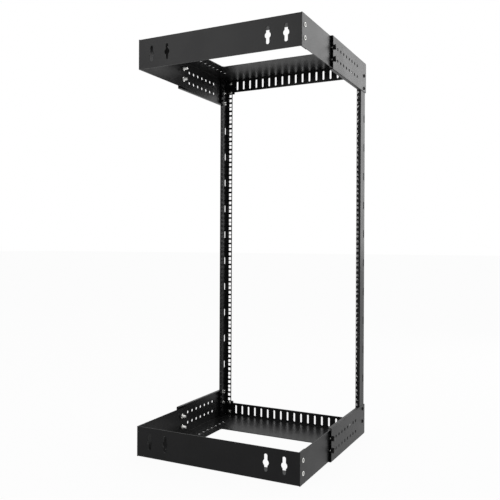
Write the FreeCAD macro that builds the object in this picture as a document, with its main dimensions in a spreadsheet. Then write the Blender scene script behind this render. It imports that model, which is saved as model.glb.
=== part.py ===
"""Wall-mounted two-post open frame rack, 19 inch, adjustable depth.

Two posts with square holes stand between an upper and a lower front bracket.
Each front bracket is bolted to the arms of a wall plate that hangs by keyholes.
X runs along the rack's width, Y from the equipment face to the wall, Z up.
Lengths are millimetres. The upper half mirrors the lower one, so most functions
take a level: 1 for the upper half, -1 for the lower. A side is -1 left, 1 right.
"""
import FreeCAD, Part
import Sketcher
import math
import os

V = FreeCAD.Vector

DOC = FreeCAD.newDocument("open_frame_rack")
SHEET = DOC.addObject("Spreadsheet::Sheet", "sizes")

SIZES = [
    # rack standard
    ("units", 26),
    ("unit", 44.45),
    ("rail_spacing", 465.1),
    ("square_hole", 9.5),
    ("square_step", 15.875),
    # sheet metal
    ("metal", 2.0),
    ("bend", 0.5),
    ("slit", 0.5),
    # wall plates and their arms
    ("wall_step", 2.6),
    ("rail_edge", 11.9),
    ("plate_height", 83.0),
    ("shelf_depth", 81.0),
    ("ear_length", 34.0),
    ("wall_arm_length", 254.0),
    ("corner_round", 3.0),
    ("key_inset", 42.65),
    ("key_gap", 50.35),
    ("key_drop", 44.3),
    ("key_round", 17.0),
    ("key_slot", 9.5),
    ("key_length", 45.0),
    ("rivet_inset", 18.0),
    ("rivet_size", 6.0),
    # front brackets
    ("bracket_depth", 305.5),
    ("arm_gap", 4.55),
    ("arm_height", 92.8),
    ("bar_height", 41.5),
    ("rim_width", 81.15),
    ("tray_depth", 169.0),
    ("tray_round", 6.0),
    ("lip_width", 10.0),
    ("lip_end", 4.0),
    ("tab_width", 30.65),
    ("tab_drop", 6.5),
    ("row_drop", 29.4),
    ("row_gap", 32.5),
    ("row_start", 11.3),
    ("row_end", 44.4),
    ("arm_inset", 36.2),
    ("arm_hole", 9.0),
    ("rim_hole", 9.5),
    ("rim_hole_inset", 49.35),
    ("rim_hole_start", 28.4),
    ("bar_slot_margin", 26.0),
    ("bar_slot_width", 6.2),
    ("bar_slot_length", 28.5),
    ("bar_slot_drop", 20.35),
    # posts
    ("end_margin", 1.15),
    ("post_depth", 45.0),
    ("rail_lip", 7.25),
    ("back_flange", 13.0),
    ("back_hole_inset", 9.3),
    ("back_hole_width", 5.0),
    ("web_slot_pitch", 90.0),
    ("web_slot_length", 24.5),
    ("web_slot_width", 8.0),
    ("web_slot_inset", 12.5),
    ("side_inset", 20.0),
    ("side_upper", 42.9),
    ("side_gap", 38.8),
    # fasteners
    ("big_shank", 8.0),
    ("big_length", 27.0),
    ("big_across", 13.0),
    ("big_head", 5.3),
    ("big_nut", 6.5),
    ("small_shank", 6.0),
    ("small_length", 12.0),
    ("small_clearance", 0.6),
    ("small_head_across", 10.5),
    ("small_head", 3.3),
    ("small_across", 10.0),
    ("small_nut", 5.0),
    ("collar_across", 13.6),
    ("collar_height", 1.2),
    ("rivet_head", 6.0),
    ("rivet_height", 2.0),
]
NAMES = {name for name, value in SIZES}

for row, (name, value) in enumerate(SIZES, start=1):
    SHEET.set("A%d" % row, name)
    SHEET.set("B%d" % row, repr(value))
    SHEET.setAlias("B%d" % row, name)
DOC.recompute()

ARM_HOLES = 9
RIM_HOLES = 8
BAR_SLOTS = 18
WEB_SLOTS = 10

# Lengths that follow from the sheet, as expressions.
UNITS = "floor(units)"
REACH = "(wall_arm_length + bracket_depth - row_start - arm_inset)"
MIDDLE = "(" + UNITS + " * unit / 2 + end_margin + metal)"
WALL_TOP = "(" + MIDDLE + " - wall_step)"
WALL_LOW = "(" + WALL_TOP + " - plate_height)"
WALL_HALF = "(rail_spacing / 2 + rail_edge)"
INNER = "(" + WALL_HALF + " + arm_gap)"
FRONT_HALF = "(" + INNER + " + metal)"
WALL_FACE = "((" + REACH + " + small_head) / 2)"
FRONT_FACE = "(" + WALL_FACE + " - " + REACH + ")"
ARM_START = "(" + FRONT_FACE + " + bracket_depth)"
ARM_LOW = "(" + MIDDLE + " - arm_height)"
BAR_LOW = "(" + MIDDLE + " - bar_height)"
UNDER = "(" + MIDDLE + " - metal)"
RELIEF = "(metal + bend + slit)"
ROW_PITCH = "((bracket_depth - post_depth - metal - row_start - row_end) / %d)" % (ARM_HOLES - 1)
BAR_PITCH = "((rail_spacing - 2 * bar_slot_margin) / %d)" % (BAR_SLOTS - 1)
TOP_GROUP = "((" + UNITS + " - 1) / 2 * unit)"
RAIL_BOLTS = ("(" + TOP_GROUP + " - square_step)", "(" + TOP_GROUP + " + square_step)")
ROWS = ("(" + MIDDLE + " - row_drop)", "(" + MIDDLE + " - row_drop - row_gap)")
SIDE_BOLTS = ("(" + MIDDLE + " - side_upper)", "(" + MIDDLE + " - side_upper - side_gap)")
DEPTH_BOLT_Y = "(" + ARM_START + " - row_start)"
SIDE_BOLT_Y = "(" + FRONT_FACE + " + side_inset)"
RIVET_Y = "(" + WALL_FACE + " - rivet_inset)"
POST_FRONT = "(" + FRONT_FACE + " + metal)"
POST_BACK = "(" + POST_FRONT + " + post_depth)"
SMALL_HOLE = "small_shank + small_clearance"


def bound(text):
    """An expression whose size names point at the sheet."""
    out = []
    word = ""
    for letter in text + " ":
        if letter.isalnum() or letter == "_":
            word += letter
            continue
        out.append("sizes." + word if word in NAMES else word)
        word = ""
        out.append(letter)
    return "".join(out).strip()


def number(text):
    """The present value of an expression."""
    return float(SHEET.evalExpression(text))


def at_height(level, text):
    """Z of a point that far above the middle, or below it in the lower half."""
    return "(" + MIDDLE + " + " + str(level) + " * (" + text + "))"


def mirrored(side, text):
    return "(" + str(side) + " * (" + text + "))"


def new_body(label):
    body = DOC.addObject("PartDesign::Body", "body_" + label)
    body.Label = label
    body.Placement = FreeCAD.Placement()
    return body


def new_sketch(body, plane, place):
    """A sketch parallel to one of the body's planes, at a place along X, Y or Z."""
    sketch = body.newObject("Sketcher::SketchObject", "sketch")
    index = {"XY": 3, "XZ": 4, "YZ": 5}[plane]
    sketch.AttachmentSupport = (body.Origin.OriginFeatures[index], [""])
    sketch.MapMode = "FlatFace"
    sign = "-1 * " if plane == "XZ" else ""
    sketch.setExpression("AttachmentOffset.Base.z", bound(sign + "(" + place + ")"))
    return sketch


def pin(sketch, geometry, point, x, y):
    """Ties one point of the sketch to two expressions."""
    for kind, text in (("DistanceX", x), ("DistanceY", y)):
        constraint = Sketcher.Constraint(kind, -1, 1, geometry, point, number(text))
        index = sketch.addConstraint(constraint)
        sketch.setExpression("Constraints[%d]" % index, bound(text))


def outline(sketch, corners):
    """A closed outline through the corners, each an x and a y expression."""
    points = [V(number(x), number(y), 0) for x, y in corners]
    count = len(points)
    first = sketch.GeometryCount
    for i in range(count):
        sketch.addGeometry(Part.LineSegment(points[i], points[(i + 1) % count]), False)
    for i in range(count):
        after = first + (i + 1) % count
        sketch.addConstraint(Sketcher.Constraint("Coincident", first + i, 2, after, 1))
        pin(sketch, first + i, 1, corners[i][0], corners[i][1])


def rectangle(sketch, x0, y0, x1, y1):
    outline(sketch, [(x0, y0), (x1, y0), (x1, y1), (x0, y1)])


def circle(sketch, x, y, diameter):
    center = V(number(x), number(y), 0)
    shape = Part.Circle(center, V(0, 0, 1), number(diameter) / 2)
    geometry = sketch.addGeometry(shape, False)
    pin(sketch, geometry, 3, x, y)
    index = sketch.addConstraint(Sketcher.Constraint("Diameter", geometry, number(diameter)))
    sketch.setExpression("Constraints[%d]" % index, bound(diameter))


def upright_slot(sketch, x, y, width, length):
    """A slot with round ends that stands upright, centred on x, y."""
    cx = number(x)
    cy = number(y)
    r = number(width) / 2
    h = number(length) / 2 - r
    over = Part.Circle(V(cx, cy + h, 0), V(0, 0, 1), r)
    below = Part.Circle(V(cx, cy - h, 0), V(0, 0, 1), r)
    top = sketch.addGeometry(Part.ArcOfCircle(over, 0, math.pi), False)
    low = sketch.addGeometry(Part.ArcOfCircle(below, math.pi, 2 * math.pi), False)
    left = sketch.addGeometry(Part.LineSegment(V(cx - r, cy + h, 0), V(cx - r, cy - h, 0)), False)
    right = sketch.addGeometry(Part.LineSegment(V(cx + r, cy - h, 0), V(cx + r, cy + h, 0)), False)
    for a, end_a, b, end_b in ((top, 2, left, 1), (left, 2, low, 1), (low, 2, right, 1), (right, 2, top, 1)):
        sketch.addConstraint(Sketcher.Constraint("Tangent", a, end_a, b, end_b))
    half = "((" + length + " - " + width + ") / 2)"
    pin(sketch, top, 3, x, y + " + " + half)
    pin(sketch, low, 3, x, y + " - " + half)
    index = sketch.addConstraint(Sketcher.Constraint("Radius", top, r))
    sketch.setExpression("Constraints[%d]" % index, bound(width + " / 2"))


def pad(body, sketch, length):
    feature = body.newObject("PartDesign::Pad", "pad")
    feature.Profile = sketch
    feature.setExpression("Length", bound(length))
    sketch.Visibility = False
    return feature


def cut(body, sketch, length):
    """A pocket that reaches half its length to each side of the sketch."""
    feature = body.newObject("PartDesign::Pocket", "pocket")
    feature.Profile = sketch
    feature.SideType = "Symmetric"
    feature.setExpression("Length", bound(length))
    sketch.Visibility = False
    return feature


def repeat(body, feature, sketch, axis, pitch, count, backward=False):
    """A straight row of a cut, along the sketch's own axis or against it."""
    row = body.newObject("PartDesign::LinearPattern", "row")
    row.Originals = [feature]
    row.Direction = (sketch, [axis])
    row.Reversed = backward
    row.setExpression("Occurrences", bound(str(count)))
    row.setExpression("Length", bound("(" + pitch + ") * (" + str(count) + " - 1)"))
    body.Tip = row
    return row


def edge_names(feature, along, places):
    """Names of the straight edges along X, Y or Z that pass through the places."""
    DOC.recompute()
    wanted = [(number(a), number(b)) for a, b in places]
    others = [i for i in range(3) if i != "XYZ".index(along)]
    names = []
    for index, edge in enumerate(feature.Shape.Edges, start=1):
        if edge.Curve.TypeId != "Part::GeomLine":
            continue
        ends = [vertex.Point for vertex in edge.Vertexes]
        for place in wanted:
            if all(abs(end[others[i]] - place[i]) < 0.01 for end in ends for i in (0, 1)):
                names.append("Edge%d" % index)
    return names


def round_off(body, feature, radius, along, places):
    """A fillet on the edges along X, Y or Z that pass through the places."""
    fillet = body.newObject("PartDesign::Fillet", "fillet")
    fillet.Base = (feature, edge_names(feature, along, places))
    fillet.setExpression("Radius", bound(radius))
    body.Tip = fillet
    return fillet


def wall_plate(level, label):
    """Plate with four keyholes, a deep shelf folded from its outer edge, an ear at each end."""
    body = new_body(label)
    half = "(" + WALL_HALF + " - metal)"
    top = at_height(level, WALL_TOP)
    under = at_height(level, WALL_TOP + " - metal")
    low = at_height(level, WALL_LOW)
    back = WALL_FACE
    face = "(" + WALL_FACE + " - metal)"
    edge = "(" + WALL_FACE + " - shelf_depth)"
    fold = new_sketch(body, "YZ", "-1 * " + half)
    outline(fold, [(back, top), (back, low), (face, low), (face, under), (edge, under), (edge, top)])
    solid = pad(body, fold, "2 * " + half)
    solid = round_off(body, solid, "bend + metal", "X", [(back, top)])
    solid = round_off(body, solid, "bend", "X", [(face, under)])
    corners = [(mirrored(side, half), edge) for side in (-1, 1)]
    round_off(body, solid, "corner_round", "Z", corners)
    ears = new_sketch(body, "YZ", "0")
    ear_top = at_height(level, WALL_TOP + " - " + RELIEF)
    rectangle(ears, "(" + WALL_FACE + " - ear_length)", low, face, ear_top)
    both = pad(body, ears, "2 * " + half)
    both.SideType = "Symmetric"
    hollow = new_sketch(body, "YZ", "0")
    rectangle(hollow, "(" + WALL_FACE + " - ear_length - metal)", at_height(level, WALL_LOW + " - metal"),
              face, ear_top)
    cut(body, hollow, "2 * (" + half + " - metal)")
    key_height = at_height(level, WALL_TOP + " - key_drop")
    key_outer = "(" + WALL_HALF + " - key_inset)"
    rounds = new_sketch(body, "XZ", WALL_FACE + " - metal / 2")
    slots = new_sketch(body, "XZ", WALL_FACE + " - metal / 2")
    for side in (-1, 1):
        for x in (key_outer, "(" + key_outer + " - key_gap)"):
            circle(rounds, mirrored(side, x), key_height, "key_round")
            upright_slot(slots, mirrored(side, x), key_height, "key_slot", "key_length")
    cut(body, rounds, "2 * metal")
    cut(body, slots, "2 * metal")
    rivets = new_sketch(body, "YZ", "0")
    for height in ROWS:
        circle(rivets, RIVET_Y, at_height(level, height), "rivet_size")
    cut(body, rivets, "3 * " + WALL_HALF)
    return body


def wall_arm(level, side, label):
    """Flat arm that runs out from the wall plate, riveted to its ear."""
    body = new_body(label)
    front = "(" + WALL_FACE + " - wall_arm_length)"
    top = at_height(level, WALL_TOP)
    low = at_height(level, WALL_LOW)
    start = WALL_HALF + " - metal" if side > 0 else "-1 * " + WALL_HALF
    sheet = new_sketch(body, "YZ", start)
    rectangle(sheet, front, low, WALL_FACE, top)
    solid = pad(body, sheet, "metal")
    round_off(body, solid, "corner_round", "X", [(front, low), (front, top)])
    holes = new_sketch(body, "YZ", start)
    for height in ROWS:
        circle(holes, RIVET_Y, at_height(level, height), "rivet_size")
        circle(holes, DEPTH_BOLT_Y, at_height(level, height), "arm_hole")
    cut(body, holes, "6 * metal")
    return body


def folded_channel(body, level):
    """The bracket's shelf, arms and lips, as one bent section along the depth."""
    top = at_height(level, MIDDLE)
    under = at_height(level, UNDER)
    low = at_height(level, ARM_LOW)
    lip = at_height(level, ARM_LOW + " + metal")
    lip_edge = "(" + FRONT_HALF + " - lip_width)"
    right = [(FRONT_HALF, top), (FRONT_HALF, low), (lip_edge, low), (lip_edge, lip), (INNER, lip), (INNER, under)]
    left = [("-1 * " + x, z) for x, z in reversed(right)]
    section = new_sketch(body, "XZ", ARM_START)
    outline(section, right + left)
    solid = pad(body, section, "bracket_depth")
    outside = [(mirrored(side, FRONT_HALF), z) for side in (-1, 1) for z in (top, low)]
    inside = [(mirrored(side, INNER), z) for side in (-1, 1) for z in (under, lip)]
    solid = round_off(body, solid, "bend + metal", "Y", outside)
    return round_off(body, solid, "bend", "Y", inside)


def front_bar(body, level):
    """The slotted bar folded down across the front, with a tab round each end bolt."""
    end = "(" + INNER + " - slit)"
    tab = "(" + end + " - tab_width)"
    under = at_height(level, UNDER)
    low = at_height(level, BAR_LOW)
    tab_low = at_height(level, BAR_LOW + " - tab_drop")
    right = [(end, under), (end, tab_low), (tab, tab_low), (tab, low)]
    left = [("-1 * " + x, z) for x, z in reversed(right)]
    face = new_sketch(body, "XZ", FRONT_FACE + " + metal")
    outline(face, right + left)
    pad(body, face, "metal")
    notch = new_sketch(body, "XY", at_height(level, MIDDLE))
    for side in (-1, 1):
        near = mirrored(side, FRONT_HALF + " - " + RELIEF)
        far = mirrored(side, FRONT_HALF + " + metal")
        rectangle(notch, near, "(" + FRONT_FACE + " - metal)", far, "(" + FRONT_FACE + " + " + RELIEF + ")")
    solid = cut(body, notch, "2 * " + RELIEF)
    solid = round_off(body, solid, "bend + metal", "X", [(FRONT_FACE, at_height(level, MIDDLE))])
    return round_off(body, solid, "bend", "X", [("(" + FRONT_FACE + " + metal)", under)])


def front_bracket(level, label):
    """One folded sheet: a U in plan with two arms and a slotted front bar."""
    body = new_body(label)
    folded_channel(body, level)
    rim = "(" + FRONT_HALF + " - rim_width)"
    tray = "(" + FRONT_FACE + " + tray_depth)"
    opening = new_sketch(body, "XY", at_height(level, MIDDLE + " - metal / 2"))
    rectangle(opening, "-1 * " + rim, tray, rim, "(" + ARM_START + " + metal)")
    solid = cut(body, opening, "2 * metal")
    solid = round_off(body, solid, "tray_round", "Z", [(mirrored(side, rim), tray) for side in (-1, 1)])
    round_off(body, solid, "corner_round", "Z", [(mirrored(side, rim), ARM_START) for side in (-1, 1)])
    front_bar(body, level)
    lips = new_sketch(body, "XY", at_height(level, ARM_LOW + " + metal / 2"))
    for side in (-1, 1):
        rectangle(lips, mirrored(side, FRONT_HALF + " - lip_width - metal"), "(" + FRONT_FACE + " - metal)",
                  mirrored(side, INNER), "(" + POST_BACK + " + lip_end)")
    cut(body, lips, "2 * metal")
    rows = new_sketch(body, "YZ", "0")
    for height in ROWS:
        circle(rows, DEPTH_BOLT_Y, at_height(level, height), "arm_hole")
    first = cut(body, rows, "3 * " + FRONT_HALF)
    repeat(body, first, rows, "H_Axis", ROW_PITCH, ARM_HOLES, True)
    sides = new_sketch(body, "YZ", "0")
    for height in SIDE_BOLTS:
        circle(sides, SIDE_BOLT_Y, at_height(level, height), SMALL_HOLE)
    cut(body, sides, "3 * " + FRONT_HALF)
    ends = new_sketch(body, "XZ", FRONT_FACE + " + metal / 2")
    for side in (-1, 1):
        for height in RAIL_BOLTS:
            circle(ends, mirrored(side, "rail_spacing / 2"), at_height(level, height), SMALL_HOLE)
    cut(body, ends, "2 * metal")
    slot = new_sketch(body, "XZ", FRONT_FACE + " + metal / 2")
    upright_slot(slot, "-1 * (rail_spacing / 2 - bar_slot_margin)", at_height(level, MIDDLE + " - bar_slot_drop"),
                 "bar_slot_width", "bar_slot_length")
    first = cut(body, slot, "2 * metal")
    repeat(body, first, slot, "H_Axis", BAR_PITCH, BAR_SLOTS)
    small = new_sketch(body, "XY", at_height(level, MIDDLE + " - metal / 2"))
    for side in (-1, 1):
        circle(small, mirrored(side, FRONT_HALF + " - rim_hole_inset"), "(" + ARM_START + " - rim_hole_start)",
               "rim_hole")
    first = cut(body, small, "2 * metal")
    repeat(body, first, small, "V_Axis", ROW_PITCH, RIM_HOLES, True)
    return body


def post(side, label):
    """Channel open to the middle: square holes in front, ovals behind, slots in its side."""
    body = new_body(label)
    outer = INNER
    inner = "(" + INNER + " - metal)"
    lip = "(rail_spacing / 2 - rail_lip)"
    back_lip = "(" + INNER + " - back_flange)"
    inner_front = "(" + POST_FRONT + " + metal)"
    inner_back = "(" + POST_BACK + " - metal)"
    section = new_sketch(body, "XY", "metal + bend")
    corners = [(outer, POST_FRONT), (outer, POST_BACK), (back_lip, POST_BACK), (back_lip, inner_back),
               (inner, inner_back), (inner, inner_front), (lip, inner_front), (lip, POST_FRONT)]
    outline(section, [(mirrored(side, x), y) for x, y in corners])
    solid = pad(body, section, "2 * (" + MIDDLE + " - metal - bend)")
    outside = [(mirrored(side, outer), y) for y in (POST_FRONT, POST_BACK)]
    inside = [(mirrored(side, inner), y) for y in (inner_front, inner_back)]
    solid = round_off(body, solid, "bend + metal", "Z", outside)
    round_off(body, solid, "bend", "Z", inside)
    lowest = MIDDLE + " - " + TOP_GROUP
    squares = new_sketch(body, "XZ", POST_FRONT + " + metal / 2")
    ovals = new_sketch(body, "XZ", POST_BACK + " - metal / 2")
    for step in (-1, 0, 1):
        x = mirrored(side, "rail_spacing / 2")
        z = lowest + " + " + str(step) + " * square_step"
        half = "square_hole / 2"
        rectangle(squares, x + " - " + half, z + " - " + half, x + " + " + half, z + " + " + half)
        upright_slot(ovals, mirrored(side, INNER + " - back_hole_inset"), z, "back_hole_width", "square_hole")
    first = cut(body, squares, "2 * metal")
    repeat(body, first, squares, "V_Axis", "unit", UNITS)
    first = cut(body, ovals, "2 * metal")
    repeat(body, first, ovals, "V_Axis", "unit", UNITS)
    web = mirrored(side, INNER + " - metal / 2")
    slots = new_sketch(body, "YZ", web)
    lowest_slot = MIDDLE + " - " + str((WEB_SLOTS - 1) / 2) + " * web_slot_pitch"
    upright_slot(slots, "(" + FRONT_FACE + " + web_slot_inset)", lowest_slot, "web_slot_width", "web_slot_length")
    first = cut(body, slots, "4 * metal")
    repeat(body, first, slots, "V_Axis", "web_slot_pitch", WEB_SLOTS)
    sides = new_sketch(body, "YZ", web)
    for level in (1, -1):
        for height in SIDE_BOLTS:
            circle(sides, SIDE_BOLT_Y, at_height(level, height), SMALL_HOLE)
    cut(body, sides, "4 * metal")
    return body


def turned(kind, name, place, axis, angle):
    """A primitive at a place, its own Z turned to lie along the fastener."""
    solid = DOC.addObject(kind, name)
    solid.Placement = FreeCAD.Placement(V(0, 0, 0), FreeCAD.Rotation(axis, angle))
    for letter, text in zip("xyz", place):
        solid.setExpression("Placement.Base." + letter, bound(text))
    return solid


def rod(place, axis, angle, diameter, length):
    solid = turned("Part::Cylinder", "rod", place, axis, angle)
    solid.setExpression("Radius", bound("(" + diameter + ") / 2"))
    solid.setExpression("Height", bound(length))
    return solid


def hexagon(place, axis, angle, across, length):
    solid = turned("Part::Prism", "hexagon", place, axis, angle)
    solid.Polygon = 6
    solid.setExpression("Circumradius", bound("(" + across + ") / 2 / cos(30)"))
    solid.setExpression("Height", bound(length))
    return solid


def fuse(solids, label):
    whole = DOC.addObject("Part::MultiFuse", "fuse_" + label)
    whole.Shapes = solids
    whole.Label = label
    return whole


def bored(solid, tool):
    whole = DOC.addObject("Part::Cut", "bored")
    whole.Base = solid
    whole.Tool = tool
    return whole


X_WAY = V(0, 1, 0)
Y_WAY = V(1, 0, 0)


def depth_bolts(level, side, label):
    """Two hex bolts, heads outside the arm, that hold it on the wall arm."""
    solids = []
    for height in ROWS:
        place = (mirrored(side, FRONT_HALF), DEPTH_BOLT_Y, at_height(level, height))
        solids.append(hexagon(place, X_WAY, 90 * side, "big_across", "big_head"))
        solids.append(rod(place, X_WAY, -90 * side, "big_shank", "big_length"))
    return fuse(solids, label)


def depth_nuts(level, side, label):
    """Their two hex nuts, inside the wall arm."""
    solids = []
    for height in ROWS:
        place = (mirrored(side, WALL_HALF + " - metal"), DEPTH_BOLT_Y, at_height(level, height))
        nut = hexagon(place, X_WAY, -90 * side, "big_across", "big_nut")
        solids.append(bored(nut, rod(place, X_WAY, -90 * side, "big_shank", "big_nut")))
    return fuse(solids, label)


def round_bolt(place, axis, angle):
    """A round-head bolt whose head stands on its face at a place."""
    return [rod(place, axis, angle, "small_head_across", "small_head"),
            rod(place, axis, -angle, "small_shank", "small_length")]


def collared_nut(place, axis, angle, label):
    """A hex nut with a collar, standing on its face at a place."""
    whole = fuse([rod(place, axis, angle, "collar_across", "collar_height"),
                  hexagon(place, axis, angle, "small_across", "small_nut")], label + "_blank")
    return bored(whole, rod(place, axis, angle, "small_shank", "small_nut"))


def side_bolts(level, side, label):
    """Two round-head bolts through the arm's end and the post's side."""
    solids = []
    for height in SIDE_BOLTS:
        place = (mirrored(side, FRONT_HALF), SIDE_BOLT_Y, at_height(level, height))
        solids += round_bolt(place, X_WAY, 90 * side)
    return fuse(solids, label)


def side_nuts(level, side, label):
    """Their collared nuts, inside the post."""
    solids = []
    for height in SIDE_BOLTS:
        place = (mirrored(side, INNER + " - metal"), SIDE_BOLT_Y, at_height(level, height))
        solids.append(collared_nut(place, X_WAY, -90 * side, label))
    return fuse(solids, label)


def rail_bolts(level, side, label):
    """Two round-head bolts through the front bar and the post's rail."""
    solids = []
    for height in RAIL_BOLTS:
        place = (mirrored(side, "rail_spacing / 2"), FRONT_FACE, at_height(level, height))
        solids += round_bolt(place, Y_WAY, 90)
    return fuse(solids, label)


def rail_nuts(level, side, label):
    """Their collared nuts, behind the rail."""
    solids = []
    for height in RAIL_BOLTS:
        place = (mirrored(side, "rail_spacing / 2"), POST_FRONT + " + metal", at_height(level, height))
        solids.append(collared_nut(place, Y_WAY, -90, label))
    return fuse(solids, label)


def wall_rivets(level, side, label):
    """Two rivets that join the wall arm to the plate's ear."""
    solids = []
    for height in ROWS:
        z = at_height(level, height)
        outside = (mirrored(side, WALL_HALF), RIVET_Y, z)
        inside = (mirrored(side, WALL_HALF + " - 2 * metal"), RIVET_Y, z)
        solids.append(rod(outside, X_WAY, 90 * side, "rivet_size + rivet_head", "rivet_height"))
        solids.append(rod(outside, X_WAY, -90 * side, "rivet_size", "2 * metal"))
        solids.append(rod(inside, X_WAY, -90 * side, "rivet_size + rivet_head", "rivet_height"))
    return fuse(solids, label)


FASTENERS = [("wall_rivets", wall_rivets), ("depth_bolts", depth_bolts), ("depth_nuts", depth_nuts),
             ("side_bolts", side_bolts), ("side_nuts", side_nuts), ("rail_bolts", rail_bolts),
             ("rail_nuts", rail_nuts)]


def build():
    pieces = [post(-1, "post_left"), post(1, "post_right")]
    for level, height in ((1, "upper"), (-1, "lower")):
        pieces.append(wall_plate(level, "wall_plate_" + height))
        pieces.append(front_bracket(level, "front_bracket_" + height))
        for side, hand in ((-1, "left"), (1, "right")):
            corner = "_" + height + "_" + hand
            pieces.append(wall_arm(level, side, "wall_arm" + corner))
            for name, make in FASTENERS:
                pieces.append(make(level, side, name + corner))
    return pieces


PIECES = build()
DOC.recompute()

for item in DOC.Objects:
    if "Invalid" in item.State or "Error" in item.State:
        raise RuntimeError("%s (%s) is %s" % (item.Name, item.Label, item.State))

os.makedirs("parts", exist_ok=True)
for piece in PIECES:
    shape = piece.Shape
    if shape.isNull() or not shape.isValid():
        raise RuntimeError("the shape of %s is not valid" % piece.Label)
    shape.exportStep("parts/%s.step" % piece.Label)
    box = shape.BoundBox
    print("%-28s %d solid(s) X %.1f..%.1f Y %.1f..%.1f Z %.1f..%.1f" % (
        piece.Label, len(shape.Solids), box.XMin, box.XMax, box.YMin, box.YMax, box.ZMin, box.ZMax))
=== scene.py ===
"""Look of the two-post open frame rack: materials, detailed fasteners, floor, light and camera.

The frame's axes are X along the rack's width, Y from the equipment face to the wall, Z up.
Sizes of the part and of its fasteners are in millimetres. Bump distances and the places of the
lamps, the floor and the camera are in metres, and noise scales are per metre.
"""
import bpy
import math
from mathutils import Matrix, Vector

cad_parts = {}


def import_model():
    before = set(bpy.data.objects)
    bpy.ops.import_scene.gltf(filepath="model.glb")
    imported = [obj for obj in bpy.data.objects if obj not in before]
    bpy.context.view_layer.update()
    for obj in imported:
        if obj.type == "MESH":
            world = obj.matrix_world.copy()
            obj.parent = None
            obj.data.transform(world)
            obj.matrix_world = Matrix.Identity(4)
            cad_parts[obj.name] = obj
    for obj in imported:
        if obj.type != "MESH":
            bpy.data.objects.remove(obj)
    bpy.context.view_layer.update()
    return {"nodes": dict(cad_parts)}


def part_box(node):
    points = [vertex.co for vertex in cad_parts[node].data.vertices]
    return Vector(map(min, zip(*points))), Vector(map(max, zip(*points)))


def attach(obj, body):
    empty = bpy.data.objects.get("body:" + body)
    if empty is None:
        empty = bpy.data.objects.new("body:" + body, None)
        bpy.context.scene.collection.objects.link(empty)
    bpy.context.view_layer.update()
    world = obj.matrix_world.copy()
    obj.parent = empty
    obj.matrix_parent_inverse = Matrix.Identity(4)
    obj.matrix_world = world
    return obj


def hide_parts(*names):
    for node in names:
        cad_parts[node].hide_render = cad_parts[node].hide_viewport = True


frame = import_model()

MM = 0.001
FULL_TURN = 2 * math.pi

# The part's own sizes. Widths are halves, and heights are measured from the rack's middle.
MIDDLE = 581.0
METAL = 2.0
FRONT_HALF = 251.0
WALL_HALF = 244.45
WALL_TOP = 578.4
FRONT_FACE = -254.35
DEPTH_BOLT_Y = 39.85
SIDE_BOLT_Y = -234.35
RIVET_Y = 239.65
RAIL_X = 232.55
ROWS = (551.6, 519.1)
SIDE_ROWS = (538.1, 499.3)
RAIL_ROWS = (539.75, 571.5)
CORNERS = [(level, side) for level in (1, -1) for side in (-1, 1)]

# The wall arm's flange, which the solids lack
FLANGE_WIDTH = 38.0
FLANGE_CORNER = 20.0

# Fastener sizes. A profile is a list of (radius, height) pairs.
M8_ACROSS = 13.0
M8_HEAD_TOP = 5.3
M8_HEAD_LOW = 0.4
M8_WASHER_FACE = [(5.9, -0.02), (6.15, 0.12), (6.15, 0.45)]
M8_THREAD = 7.9
M8_PITCH = 1.25
M8_LENGTH = 27.0
M8_NUT_HEIGHT = 6.5
M8_BORE = 3.9
M6_HEAD_WIDTH = 10.5
M6_HEAD_HEIGHT = 3.3
M6_THREAD = 5.9
M6_PITCH = 1.0
M6_LENGTH = 12.0
M6_ACROSS = 10.0
M6_NUT_LOW = 0.9
M6_NUT_TOP = 5.0
M6_BORE = 2.9
M6_COLLAR = [(3.2, 0.0), (6.6, 0.0), (6.8, 0.25), (6.8, 0.75), (5.6, 1.2)]
RIVET_HEAD_OVER_SHANK = 3.0
RIVET_BORE_SHARE = 0.60

# Points round the fasteners, and the angle from which an edge is kept sharp
HEX_POINTS = 60
HEAD_POINTS = 48
RIVET_POINTS = 40
THREAD_POINTS = 24
SHARP_ANGLE = math.radians(32.0)

# How far the fasteners were turned, and where in that list each kind starts
TURNS = (0.0, 0.35, -0.2, 0.55, 0.15, -0.4, 0.3, 0.05)
TURNS_START = {"depth_bolts": 0, "depth_nuts": 3, "side_bolts": 0, "side_nuts": 5, "rail_bolts": 3,
               "rail_nuts": 7}

# The stage, in metres. The lens and its sensor are in millimetres.
FLOOR_HALF = 40.0
FLOOR_TONE = 0.90
FLOOR_GLOW = 0.95
BACKDROP = Vector((-0.05, -1.0, 0.10)).normalized()
BACKDROP_EDGE = (0.45, 0.85)
BACKDROP_LEVEL = 1.0
ROOM_LEVEL = 0.42
LAMP_TARGET = (0.0, 0.0, 0.7)
SENSOR_WIDTH = 36.0
LENS = 45.7955
LENS_SHIFT = (-0.00306, -0.0097)
VIEW_END = 200.0
CAMERA_PLACE = (-0.83565, 1.69235, 0.59055)
CAMERA_RIGHT = (-0.892147, -0.451723, 0.004579)
CAMERA_UP = (0.004216, 0.001811, 0.999989)
CAMERA_BACK = (-0.451726, 0.892156, 0.000289)


def corner_name(level, side):
    return ("upper" if level > 0 else "lower") + "_" + ("left" if side < 0 else "right")


def add_object(name, data):
    made = bpy.data.objects.new(name, data)
    bpy.context.scene.collection.objects.link(made)
    return made


# Materials

def new_material(name):
    material = bpy.data.materials.new(name)
    material.use_nodes = True
    tree = material.node_tree
    tree.nodes.clear()
    return material, tree


def object_place(tree):
    return tree.nodes.new("ShaderNodeTexCoord").outputs["Object"]


def noise(tree, coordinates, scale, detail):
    made = tree.nodes.new("ShaderNodeTexNoise")
    made.inputs["Scale"].default_value = scale
    made.inputs["Detail"].default_value = detail
    tree.links.new(coordinates, made.inputs["Vector"])
    return made.outputs["Fac"]


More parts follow.
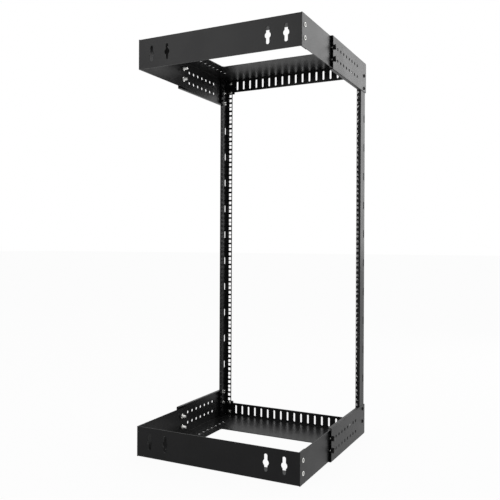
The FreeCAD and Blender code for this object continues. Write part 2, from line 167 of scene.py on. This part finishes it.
def spread(tree, value, low, high):
    """Noise stretched to a range. Most of the noise lies between 0.3 and 0.7."""
    made = tree.nodes.new("ShaderNodeMapRange")
    made.inputs["From Min"].default_value = 0.3
    made.inputs["From Max"].default_value = 0.7
    made.inputs["To Min"].default_value = low
    made.inputs["To Max"].default_value = high
    tree.links.new(value, made.inputs["Value"])
    return made.outputs["Result"]


def blend_colours(tree, value, first, second):
    made = tree.nodes.new("ShaderNodeMix")
    made.data_type = "RGBA"
    made.inputs["A"].default_value = (*first, 1.0)
    made.inputs["B"].default_value = (*second, 1.0)
    tree.links.new(value, made.inputs["Factor"])
    return made.outputs["Result"]


def calculate(tree, operation, first, second):
    """A maths node on a value and a second value or plain number."""
    made = tree.nodes.new("ShaderNodeMath")
    made.operation = operation
    tree.links.new(first, made.inputs[0])
    if isinstance(second, float):
        made.inputs[1].default_value = second
    else:
        tree.links.new(second, made.inputs[1])
    return made.outputs[0]


def bump(tree, height, strength, distance, before=None):
    made = tree.nodes.new("ShaderNodeBump")
    made.inputs["Strength"].default_value = strength
    made.inputs["Distance"].default_value = distance
    tree.links.new(height, made.inputs["Height"])
    if before is not None:
        tree.links.new(before, made.inputs["Normal"])
    return made.outputs["Normal"]


def show(tree, shader):
    output = tree.nodes.new("ShaderNodeOutputMaterial")
    tree.links.new(shader, output.inputs["Surface"])


def surface(tree, metallic, specular):
    shader = tree.nodes.new("ShaderNodeBsdfPrincipled")
    shader.inputs["Metallic"].default_value = metallic
    shader.inputs["Specular IOR Level"].default_value = specular
    show(tree, shader.outputs["BSDF"])
    return shader


def powder_coat():
    """Satin black powder coat: fine orange peel, faint clouding of colour and gloss."""
    material, tree = new_material("powder_coat")
    place = object_place(tree)
    shader = surface(tree, metallic=0.0, specular=0.13)
    cloud = noise(tree, place, scale=14.0, detail=3.0)
    grain = noise(tree, place, scale=900.0, detail=2.0)
    dark = (0.0075, 0.0075, 0.0079)
    pale = (0.0110, 0.0110, 0.0115)
    tone = blend_colours(tree, spread(tree, cloud, low=0.0, high=1.0), dark, pale)
    tree.links.new(tone, shader.inputs["Base Color"])
    rough = spread(tree, cloud, low=0.30, high=0.36)
    fine = spread(tree, grain, low=-0.02, high=0.03)
    tree.links.new(calculate(tree, "ADD", rough, fine), shader.inputs["Roughness"])
    peel = noise(tree, place, scale=650.0, detail=1.0)
    wave = noise(tree, place, scale=35.0, detail=1.0)
    normal = bump(tree, wave, strength=0.25, distance=0.0004)
    normal = bump(tree, peel, strength=0.30, distance=0.00006, before=normal)
    tree.links.new(normal, shader.inputs["Normal"])
    return material


def fastener_finish(name, metallic, specular, patch_scale, grain_scale, dark, pale, roughness,
                    grain_strength):
    """Patches of colour and gloss, and a fine grain."""
    material, tree = new_material(name)
    place = object_place(tree)
    shader = surface(tree, metallic, specular)
    patch = noise(tree, place, scale=patch_scale, detail=3.0)
    grain = noise(tree, place, scale=grain_scale, detail=2.0)
    tone = blend_colours(tree, spread(tree, patch, low=0.0, high=1.0), dark, pale)
    tree.links.new(tone, shader.inputs["Base Color"])
    tree.links.new(spread(tree, patch, *roughness), shader.inputs["Roughness"])
    tree.links.new(bump(tree, grain, grain_strength, distance=0.00002), shader.inputs["Normal"])
    return material


def black_oxide():
    """Black oxide bolts: dark, slightly brown where the finish is thin."""
    return fastener_finish("black_oxide", metallic=0.1, specular=0.2, patch_scale=260.0, grain_scale=2400.0,
                           dark=(0.006, 0.006, 0.0065), pale=(0.013, 0.012, 0.0115),
                           roughness=(0.32, 0.46), grain_strength=0.25)


def zinc():
    """Bright zinc plate: pale metal with faint clouding."""
    return fastener_finish("bright_zinc", metallic=1.0, specular=0.5, patch_scale=220.0, grain_scale=3000.0,
                           dark=(0.60, 0.60, 0.59), pale=(0.74, 0.74, 0.71),
                           roughness=(0.15, 0.26), grain_strength=0.2)


COAT = powder_coat()
OXIDE = black_oxide()
ZINC = zinc()


# Fastener meshes. Each is built round its own axis: the seat is at 0 and the head stands up along +Z.
# A slot is the number of the piece's own material, 0 for the first.

class Mesh:
    """Points and faces of one piece, gathered from several fasteners."""

    def __init__(self):
        self.points = []
        self.faces = []
        self.slots = []

    def ring(self, radius, z, count):
        """A closed ring of points. The radius is a number or a function of the angle, and so is z."""
        first = len(self.points)
        for i in range(count):
            angle = FULL_TURN * i / count
            r = radius(angle) if callable(radius) else radius
            h = z(angle) if callable(z) else z
            self.points.append(Vector((r * math.cos(angle), r * math.sin(angle), h)))
        return list(range(first, first + count))

    def outline(self, corners, height):
        """A closed outline through (x, y) pairs. The height is a function of x and y."""
        first = len(self.points)
        self.points += [Vector((x, y, height(x, y))) for x, y in corners]
        return list(range(first, first + len(corners)))

    def skin(self, lower, upper, slot):
        """Faces between two rings."""
        count = len(lower)
        for i in range(count):
            j = (i + 1) % count
            self.faces.append((lower[i], lower[j], upper[j], upper[i]))
            self.slots.append(slot)

    def skins(self, rings, slot):
        """Faces between each ring and the next, facing outward where the rings rise."""
        for lower, upper in zip(rings, rings[1:]):
            self.skin(lower, upper, slot)

    def cap(self, ring, slot, upward):
        """A disc closed by one point in the ring's middle."""
        middle = sum((self.points[i] for i in ring), Vector()) / len(ring)
        self.points.append(middle)
        tip = len(self.points) - 1
        count = len(ring)
        for i in range(count):
            j = (i + 1) % count
            face = (ring[i], ring[j], tip) if upward else (ring[j], ring[i], tip)
            self.faces.append(face)
            self.slots.append(slot)

    def turn(self, profile, slot, count):
        """Rings through a profile from the lowest up, closed below and open on top."""
        rings = [self.ring(radius, z, count) for radius, z in profile]
        self.skins(rings, slot)
        self.cap(rings[0], slot, upward=False)
        return rings

    def place(self, start, seat, direction, spin=0.0):
        """Moves all points since start onto a seat in the frame, their Z along a level direction."""
        direction = Vector(direction)
        across = Vector((0, 0, 1)).cross(direction).normalized()
        up = direction.cross(across).normalized()
        turn = Matrix((across, up, direction)).transposed()
        turn = turn @ Matrix.Rotation(spin, 3, "Z")
        for i in range(start, len(self.points)):
            self.points[i] = turn @ self.points[i] + Vector(seat)

    def piece(self, name, materials):
        mesh = bpy.data.meshes.new(name)
        mesh.from_pydata([p * MM for p in self.points], [], self.faces)
        for material in materials:
            mesh.materials.append(material)
        mesh.polygons.foreach_set("material_index", self.slots)
        mesh.validate()
        mesh.shade_smooth()
        mesh.set_sharp_from_angle(angle=SHARP_ANGLE)
        return add_object(name, mesh)


def hex_radius(across):
    """Distance to a hexagon's outline by angle, its corners at 0, 60 and so on."""
    def at(angle):
        return across / 2 / math.cos((angle % (math.pi / 3)) - math.pi / 6)
    return at


def hex_solid(mesh, across, low, high, slot, chamfer_low=False, bore=None):
    """A hexagonal head or nut with cone-chamfered corners, and a round bore if it has a radius."""
    outline = hex_radius(across)
    chamfer_start = 0.94
    chamfer_angle = math.radians(30)
    mouth_share = 1.1
    flat = across / 2 * chamfer_start
    slope = math.tan(chamfer_angle)

    def drop(angle):
        return max(0.0, outline(angle) - flat) * slope

    rings = []
    if chamfer_low:
        rings.append(mesh.ring(flat, low, HEX_POINTS))
        rings.append(mesh.ring(outline, lambda angle: low + drop(angle), HEX_POINTS))
    else:
        rings.append(mesh.ring(outline, low, HEX_POINTS))
    rings.append(mesh.ring(outline, lambda angle: high - drop(angle), HEX_POINTS))
    rings.append(mesh.ring(flat, high, HEX_POINTS))
    mesh.skins(rings, slot)
    if bore is None:
        mesh.cap(rings[0], slot, upward=False)
        mesh.cap(rings[-1], slot, upward=True)
        return
    mouth = bore * mouth_share
    bevel = mouth - bore
    inside = [(mouth, high), (bore, high - bevel), (bore, low + bevel), (mouth, low)]
    inner = [mesh.ring(radius, z, HEX_POINTS) for radius, z in inside]
    mesh.skins([rings[-1], *inner, rings[0]], slot)


def thread(mesh, diameter, pitch, length, slot):
    """A threaded shank from the seat down, with a chamfered tip."""
    steps_per_turn = 6
    depth = 0.6 * pitch
    tip = 0.8 * pitch
    rows = int(length / pitch * steps_per_turn)

    def radius_at(angle, down):
        phase = (down / pitch - angle / FULL_TURN) % 1.0
        groove = 1 - abs(2 * phase - 1)
        chamfer = 1 - (length - down) / tip
        return diameter / 2 - depth * max(groove, chamfer)

    rings = []
    for row in range(rows, -1, -1):
        down = length * row / rows
        rings.append(mesh.ring(lambda angle: radius_at(angle, down), -down, THREAD_POINTS))
    mesh.skins(rings, slot)
    mesh.cap(rings[0], slot, upward=False)
    mesh.cap(rings[-1], slot, upward=True)


def pan_head(mesh, across, height, slot):
    """A domed round head with a cross recess."""
    radius = across / 2
    rim = height * 0.40
    seat_edge = 0.15
    dome_power = 2.6
    dome_rings = 6
    dome_steps = 9
    recess_taper = 0.45
    recess_floor = height - across * 0.19

    def dome(r):
        return rim + (height - rim) * math.sqrt(max(0.0, 1 - (r / radius) ** dome_power))

    profile = [(radius - seat_edge, 0.0), (radius, seat_edge), (radius, rim)]
    for step in range(1, dome_rings + 1):
        r = radius * math.cos(step * math.pi / 2 / dome_steps)
        profile.append((r, dome(r)))
    rings = mesh.turn(profile, slot, HEAD_POINTS)
    cross = cross_outline(reach=across * 0.27, arm=across * 0.062)
    edge = mesh.outline(cross, lambda x, y: dome(math.hypot(x, y)))
    fan(mesh, rings[-1], edge, slot)
    small_cross = [(x * recess_taper, y * recess_taper) for x, y in cross]
    floor_edge = mesh.outline(small_cross, lambda x, y: recess_floor)
    mesh.skin(edge, floor_edge, slot)
    mesh.cap(floor_edge, slot, upward=True)


def cross_outline(reach, arm):
    """The twelve corners of a cross."""
    corners = []
    for quarter in range(4):
        c = round(math.cos(quarter * math.pi / 2))
        s = round(math.sin(quarter * math.pi / 2))
        for x, y in ((reach, -arm), (reach, arm), (arm, arm)):
            corners.append((x * c - y * s, x * s + y * c))
    return corners


def fan(mesh, outer, inner, slot):
    """Triangles between an outer ring and an inner outline with fewer points, by angle."""
    def angle(index):
        point = mesh.points[index]
        return math.atan2(point.y, point.x) % FULL_TURN

    def closed_angles(outline):
        return [angle(index) for index in outline[:-1]] + [angle(outline[-1]) + FULL_TURN]

    start = min(range(len(inner)), key=lambda k: angle(inner[k]))
    outer = outer + outer[:1]
    inner = inner[start:] + inner[:start + 1]
    outer_angles = closed_angles(outer)
    inner_angles = closed_angles(inner)
    outer_end = len(outer) - 1
    inner_end = len(inner) - 1
    i = 0
    j = 0
    while i < outer_end or j < inner_end:
        if j == inner_end or (i < outer_end and outer_angles[i + 1] <= inner_angles[j + 1]):
            mesh.faces.append((outer[i], outer[i + 1], inner[j]))
            i += 1
        else:
            mesh.faces.append((outer[i], inner[j + 1], inner[j]))
            j += 1
        mesh.slots.append(slot)


# Fasteners. Bolts and nuts are built at their seat, then placed at both rows of each corner.

def hex_bolt(mesh):
    """An M8 bolt with a black head on a washer face and a bright thread."""
    rings = mesh.turn(M8_WASHER_FACE, 0, HEAD_POINTS)
    mesh.cap(rings[-1], 0, upward=True)
    hex_solid(mesh, M8_ACROSS, M8_HEAD_LOW, M8_HEAD_TOP, 0)
    thread(mesh, M8_THREAD, M8_PITCH, M8_LENGTH, 1)


def hex_nut(mesh):
    hex_solid(mesh, M8_ACROSS, 0.0, M8_NUT_HEIGHT, 0, chamfer_low=True, bore=M8_BORE)


def round_bolt(mesh):
    """An M6 bolt with a domed head."""
    pan_head(mesh, M6_HEAD_WIDTH, M6_HEAD_HEIGHT, 0)
    thread(mesh, M6_THREAD, M6_PITCH, M6_LENGTH, 0)


def collared_nut(mesh):
    """An M6 nut on its own washer."""
    mesh.skins([mesh.ring(radius, z, HEX_POINTS) for radius, z in M6_COLLAR], 0)
    hex_solid(mesh, M6_ACROSS, M6_NUT_LOW, M6_NUT_TOP, 0, bore=M6_BORE)


# Each shape with its angle at rest, the share of TURNS that it takes, its materials and its slot
HEX_BOLT = (hex_bolt, math.pi / 2, 0.2, [OXIDE, ZINC], "black_bolt")
HEX_NUT = (hex_nut, math.pi / 2, 0.2, [ZINC], "zinc_nut")
ROUND_BOLT = (round_bolt, 0.0, 1.0, [OXIDE], "black_bolt")
COLLARED_NUT = (collared_nut, 0.0, 0.3, [ZINC], "zinc_nut")


def add_fastener(mesh, name, materials):
    made = mesh.piece(name + "_look", materials)
    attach(made, "root")
    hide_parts(name)


def seats(rows, level, x, y):
    """Places at both rows of a corner."""
    return [(x, y, MIDDLE + level * height) for height in rows]


def fasten(kind, shape, corner, places, direction):
    """One corner's fasteners of a kind, each turned a little differently."""
    build, angle, share, materials, slot = shape
    mesh = Mesh()
    for number, seat in enumerate(places):
        start = len(mesh.points)
        build(mesh)
        turn = TURNS[(TURNS_START[kind] + corner + number) % len(TURNS)]
        mesh.place(start, seat, direction, angle + turn * share)
    add_fastener(mesh, kind + "_" + corner_name(*CORNERS[corner]), materials)


def rivets(level, side):
    """Hollow rivets: a bright rolled ring outside the wall arm, round a shallow bore whose walls and floor
    are painted dark, as painted shade of a deep hole.
    """
    name = "wall_rivets_" + corner_name(level, side)
    low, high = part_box(name)
    inner = (high.x if side < 0 else low.x) / MM
    outer = (low.x if side < 0 else high.x) / MM
    tip = side * WALL_HALF
    height = abs(outer - tip)
    depth = abs(tip - inner)
    radius = (high.y - low.y) / MM / 2
    shank = radius - RIVET_HEAD_OVER_SHANK
    bore = RIVET_BORE_SHARE * radius
    roll_middle = (radius + bore) / 2
    roll_half = (radius - bore) / 2
    roll_foot = 0.12
    roll_steps = 12
    rim_lift = 0.02
    profile = [(shank, -depth), (shank, 0.0), (radius, rim_lift)]
    for step in range(roll_steps + 1):
        angle = step * math.pi / roll_steps
        rise = roll_foot + (1 - roll_foot) * math.sin(angle)
        profile.append((roll_middle + roll_half * math.cos(angle), height * rise))
    pit_side = -0.4 * depth
    pit_floor = -0.5 * depth
    pit_taper = 0.9
    mesh = Mesh()
    for seat in seats(ROWS, level, tip, RIVET_Y):
        start = len(mesh.points)
        rings = mesh.turn(profile, 0, RIVET_POINTS)
        side_ring = mesh.ring(bore, pit_side, RIVET_POINTS)
        floor_ring = mesh.ring(pit_taper * bore, pit_floor, RIVET_POINTS)
        # The bore's walls and floor take the dark oxide slot: painted shade standing for the depth of the
        # hole.
        mesh.skins([rings[-1], side_ring, floor_ring], 1)
        mesh.cap(floor_ring, 1, upward=True)
        mesh.place(start, seat, (side, 0, 0))
    add_fastener(mesh, name, [ZINC, OXIDE])


def arm_flange(level, side):
    """The wall arm's narrow flange, folded in along the bracket's shelf as far as the arm's front end."""
    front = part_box("wall_arm_" + corner_name(level, side))[0].y / MM
    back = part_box("wall_plate_" + ("upper" if level > 0 else "lower"))[0].y / MM
    outer = side * (WALL_HALF - METAL)
    inner = side * (WALL_HALF - FLANGE_WIDTH)
    corner_steps = 6
    outline = [(outer, back), (inner, back)]
    for step in range(corner_steps + 1):
        angle = step * math.pi / 2 / corner_steps
        outline.append((inner + side * FLANGE_CORNER * (1 - math.cos(angle)),
                        front + FLANGE_CORNER * (1 - math.sin(angle))))
    outline.append((outer, front))
    if side > 0:
        outline.reverse()
    faces = sorted((MIDDLE + level * WALL_TOP, MIDDLE + level * (WALL_TOP - METAL)))
    mesh = Mesh()
    under, top = [mesh.outline(outline, lambda x, y: z) for z in faces]
    mesh.skin(under, top, 0)
    mesh.faces += [tuple(reversed(under)), tuple(top)]
    mesh.slots += [0, 0]
    made = mesh.piece("wall_arm_flange_" + corner_name(level, side), [COAT])
    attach(made, "root")


def fasteners():
    for corner, (level, side) in enumerate(CORNERS):
        outward = (side, 0, 0)
        inward = (-side, 0, 0)
        places = seats(ROWS, level, side * FRONT_HALF, DEPTH_BOLT_Y)
        fasten("depth_bolts", HEX_BOLT, corner, places, outward)
        places = seats(ROWS, level, side * (WALL_HALF - METAL), DEPTH_BOLT_Y)
        fasten("depth_nuts", HEX_NUT, corner, places, inward)
        places = seats(SIDE_ROWS, level, side * FRONT_HALF, SIDE_BOLT_Y)
        fasten("side_bolts", ROUND_BOLT, corner, places, outward)
        places = seats(SIDE_ROWS, level, side * (FRONT_HALF - 2 * METAL), SIDE_BOLT_Y)
        fasten("side_nuts", COLLARED_NUT, corner, places, inward)
        places = seats(RAIL_ROWS, level, side * RAIL_X, FRONT_FACE)
        fasten("rail_bolts", ROUND_BOLT, corner, places, (0, -1, 0))
        places = seats(RAIL_ROWS, level, side * RAIL_X, FRONT_FACE + 2 * METAL)
        fasten("rail_nuts", COLLARED_NUT, corner, places, (0, 1, 0))
        rivets(level, side)
        arm_flange(level, side)


def dress_frame():
    """The sheet-metal nodes keep their solids and get the coat."""
    for piece in frame["nodes"].values():
        if not piece.material_slots:
            piece.data.materials.append(COAT)
        for slot in piece.material_slots:
            slot.material = COAT


# Stage

def white_to(tree):
    """1 for the rays that see plain white round the rack: camera, glossy and transmission rays."""
    ray = tree.nodes.new("ShaderNodeLightPath")
    value = ray.outputs["Is Camera Ray"]
    for kind in ("Is Glossy Ray", "Is Transmission Ray"):
        value = calculate(tree, "MAXIMUM", value, ray.outputs[kind])
    return value


def floor():
    """A wide pale floor. What the camera sees of it is mostly plain white, with a faint shadow."""
    mesh = bpy.data.meshes.new("floor")
    half = FLOOR_HALF
    corners = [(-half, -half, 0), (half, -half, 0), (half, half, 0), (-half, half, 0)]
    mesh.from_pydata(corners, [], [(0, 1, 2, 3)])
    made = add_object("floor", mesh)
    material, tree = new_material("pale_floor")
    diffuse = tree.nodes.new("ShaderNodeBsdfDiffuse")
    diffuse.inputs["Color"].default_value = (FLOOR_TONE, FLOOR_TONE, FLOOR_TONE, 1.0)
    glow = tree.nodes.new("ShaderNodeEmission")
    glow.inputs["Color"].default_value = (1.0, 1.0, 1.0, 1.0)
    glow.inputs["Strength"].default_value = 1.0
    mix = tree.nodes.new("ShaderNodeMixShader")
    tree.links.new(calculate(tree, "MULTIPLY", white_to(tree), FLOOR_GLOW), mix.inputs["Fac"])
    tree.links.new(diffuse.outputs["BSDF"], mix.inputs[1])
    tree.links.new(glow.outputs["Emission"], mix.inputs[2])
    show(tree, mix.outputs["Shader"])
    mesh.materials.append(material)


def world():
    """White to camera, glossy and transmission rays. As light, a bright backdrop in a dimmer room."""
    made = bpy.data.worlds.new("studio")
    bpy.context.scene.world = made
    made.use_nodes = True
    tree = made.node_tree
    tree.nodes.clear()
    place = tree.nodes.new("ShaderNodeTexCoord")
    facing = tree.nodes.new("ShaderNodeVectorMath")
    facing.operation = "DOT_PRODUCT"
    facing.inputs[1].default_value = BACKDROP
    tree.links.new(place.outputs["Generated"], facing.inputs[0])
    level = tree.nodes.new("ShaderNodeMapRange")
    level.interpolation_type = "SMOOTHSTEP"
    level.inputs["From Min"].default_value = BACKDROP_EDGE[0]
    level.inputs["From Max"].default_value = BACKDROP_EDGE[1]
    level.inputs["To Min"].default_value = ROOM_LEVEL
    level.inputs["To Max"].default_value = BACKDROP_LEVEL
    tree.links.new(facing.outputs["Value"], level.inputs["Value"])
    strength = tree.nodes.new("ShaderNodeMix")
    strength.inputs["B"].default_value = 1.0
    tree.links.new(white_to(tree), strength.inputs["Factor"])
    tree.links.new(level.outputs["Result"], strength.inputs["A"])
    background = tree.nodes.new("ShaderNodeBackground")
    background.inputs["Color"].default_value = (1.0, 1.0, 1.0, 1.0)
    tree.links.new(strength.outputs["Result"], background.inputs["Strength"])
    output = tree.nodes.new("ShaderNodeOutputWorld")
    tree.links.new(background.outputs["Background"], output.inputs["Surface"])


def area_light(name, place, width, height, power):
    light = bpy.data.lights.new(name, "AREA")
    light.shape = "RECTANGLE"
    light.size = width
    light.size_y = height
    light.energy = power
    made = add_object(name, light)
    made.location = place
    made.rotation_euler = (Vector(LAMP_TARGET) - Vector(place)).to_track_quat("-Z", "Y").to_euler()


def camera():
    """The photograph's own view, level with the rack's middle."""
    data = bpy.data.cameras.new("camera")
    data.sensor_width = SENSOR_WIDTH
    data.lens = LENS
    data.shift_x, data.shift_y = LENS_SHIFT
    data.clip_end = VIEW_END
    made = add_object("camera", data)
    turn = Matrix((CAMERA_RIGHT, CAMERA_UP, CAMERA_BACK)).transposed().to_4x4()
    made.matrix_world = Matrix.Translation(CAMERA_PLACE) @ turn
    bpy.context.scene.camera = made


dress_frame()
fasteners()
floor()
world()
area_light("key", place=(-1.15, -1.9, 1.45), width=1.3, height=2.0, power=17.0)
area_light("fill", place=(1.35, 2.6, 2.0), width=1.5, height=1.3, power=24.0)
camera()
bpy.context.scene.view_settings.view_transform = "Standard"
